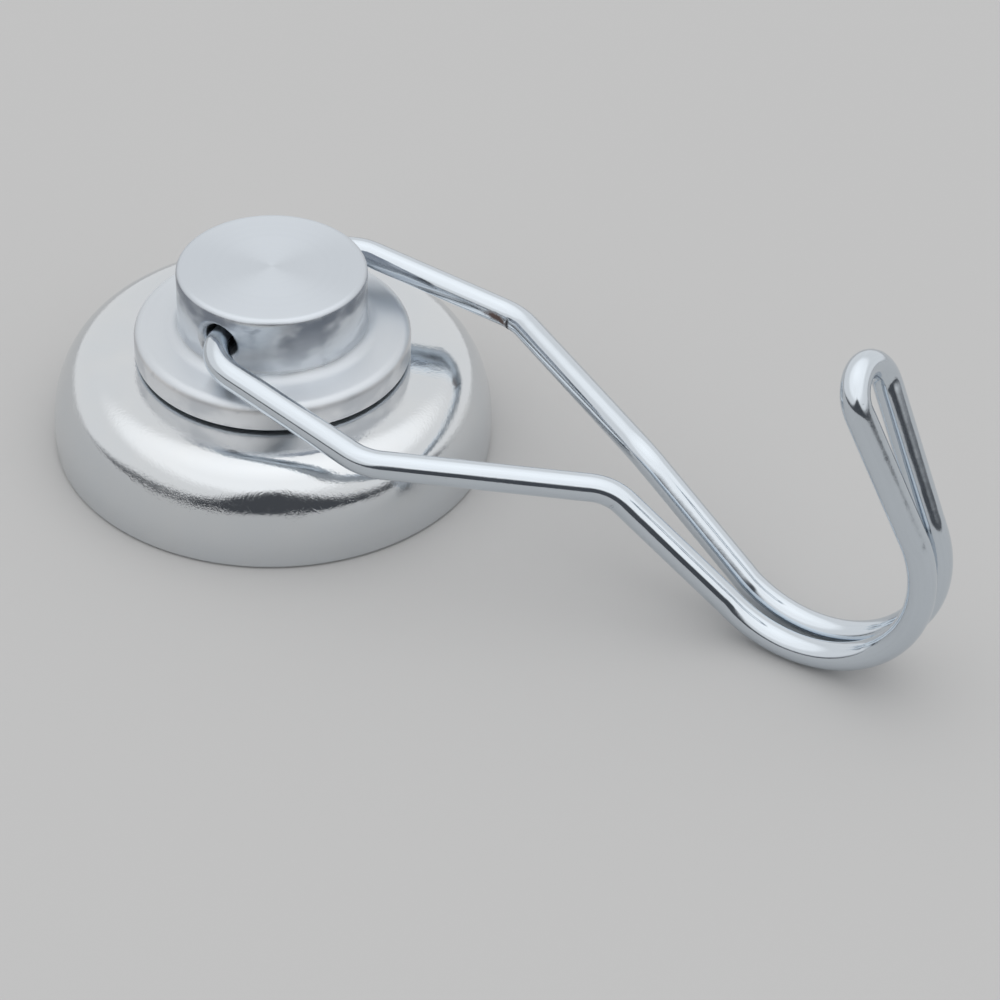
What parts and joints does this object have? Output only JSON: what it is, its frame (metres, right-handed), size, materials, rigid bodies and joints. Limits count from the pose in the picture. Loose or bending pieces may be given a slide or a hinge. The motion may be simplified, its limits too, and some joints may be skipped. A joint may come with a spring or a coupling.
{
  "type": "magnetic hook",
  "caption": "Round pot magnet with a turned swivel head and a bent wire hook that swings in the head's cross bore, for hanging things from a steel surface.",
  "frame": {"origin": "centre of the magnet's face, on the plane of the pot's rim", "axes": "+Z away from the steel surface along the pot's axis, +X along the hook from the pot towards the belly, +Y across the two strands"},
  "size_m": [0.0774, 0.036, 0.0284],
  "materials": {
    "pot": "satin nickel plate on pressed steel",
    "magnet": "bright nickel plate on a sintered magnet",
    "resin": "black potting resin",
    "thrust_washer": "dark polymer",
    "head": "fine turned, with concentric tool marks on the end face",
    "retaining_washer": "zinc plate",
    "retaining_screw": "plain dark steel",
    "hook": "bright plated wire"
  },
  "bodies": {
    "base": {"pot_cup": "pot", "disc_magnet": "magnet", "resin_ring": "resin", "thrust_washer": "thrust_washer"},
    "head": {"swivel_head": "head", "retaining_washer": "retaining_washer", "retaining_screw": "retaining_screw"},
    "hook": {"wire_hook": "hook"}
  },
  "joints": [
    {"name": "head_swivel", "type": "hinge", "parent": "base", "child": "head", "pos_m": [0, 0, 0.0085], "axis": [0, 0, 1], "continuous": true},
    {"name": "hook_swing", "type": "hinge", "parent": "head", "child": "hook", "pos_m": [0, 0, 0.01335], "axis": [0, -1, 0], "range_deg": [0, 178]}
  ]
}
